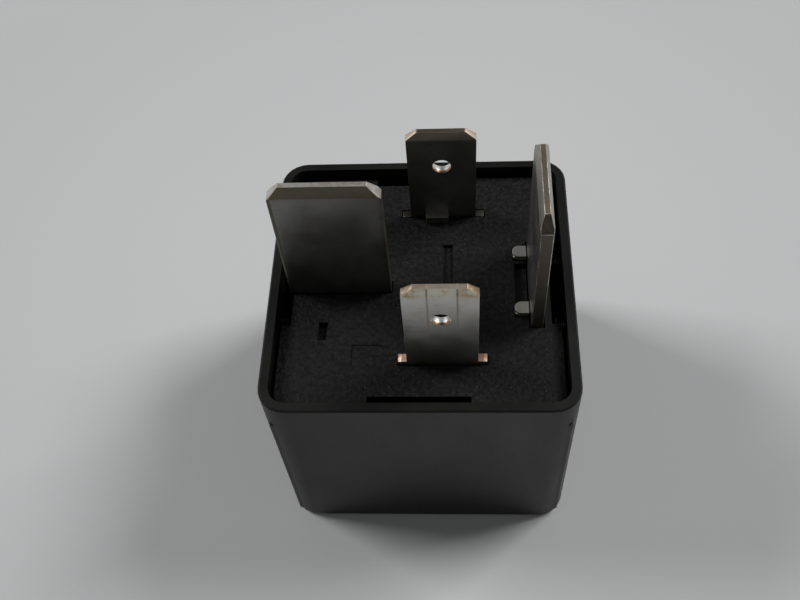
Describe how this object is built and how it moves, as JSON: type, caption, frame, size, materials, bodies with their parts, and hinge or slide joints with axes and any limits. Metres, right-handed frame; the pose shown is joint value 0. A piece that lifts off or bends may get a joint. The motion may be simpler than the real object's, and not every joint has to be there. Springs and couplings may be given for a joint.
{
  "type": "plug-in power relay",
  "caption": "Square plug-in power relay: black clip-on cover, base plate with load and coil blade terminals, and a sprung armature that closes a contact.",
  "frame": {"origin": "centre of the cover's closed end, on the plane that the relay stands on", "axes": "+Z out along the blade terminals, +X from the load terminal on the coil's hinge side towards the load terminal on its contact side, +Y from the front coil terminal towards the back one"},
  "size_m": [0.028, 0.028, 0.0375],
  "materials": {
    "cover_plastic": "satin black moulded plastic",
    "base_plastic": "black moulded plastic with a fine spark-eroded texture",
    "tinned_copper": "dull tin plate over copper alloy, with bare copper on the cut edges",
    "iron": "plated soft iron",
    "bare_copper": "bare copper braid",
    "enamelled_wire": "enamelled copper wire",
    "contact_silver": "silver alloy",
    "spring_bronze": "rolled spring bronze",
    "bobbin_plastic": "natural glass-filled plastic",
    "tape_film": "amber polyester tape"
  },
  "bodies": {
    "case": {"cover": "cover_plastic"},
    "works": {"base_plate": "base_plastic", "terminal_30": "tinned_copper", "terminal_87": "tinned_copper", "terminal_85": "tinned_copper", "terminal_86": "tinned_copper", "fixed_contact_carrier": "tinned_copper", "fixed_contact": "contact_silver", "yoke": "iron", "coil_core": "iron", "coil_bobbin": "bobbin_plastic", "coil_winding": "enamelled_wire", "coil_tape": "tape_film", "coil_wire_85": "enamelled_wire", "coil_wire_86": "enamelled_wire", "hinge_spring": "spring_bronze", "hinge_spring_rivet_front": "iron", "hinge_spring_rivet_back": "iron", "shunt_braid": "bare_copper"},
    "moving_armature": {"armature": "iron", "contact_spring": "spring_bronze", "armature_rivet_front": "iron", "armature_rivet_back": "iron", "moving_contact": "contact_silver"}
  },
  "joints": [
    {"name": "cover_pull", "type": "slide", "parent": "case", "child": "works", "axis": [0, 0, 1], "range_m": [0, 0.026]},
    {"name": "armature_hinge", "type": "hinge", "parent": "works", "child": "moving_armature", "pos_m": [-0.0089, 0.0004, 0.0051], "axis": [0, -1, 0], "range_deg": [0, 3], "stiffness_Nm_per_rad": 0.02, "springref_deg": -5.73}
  ]
}
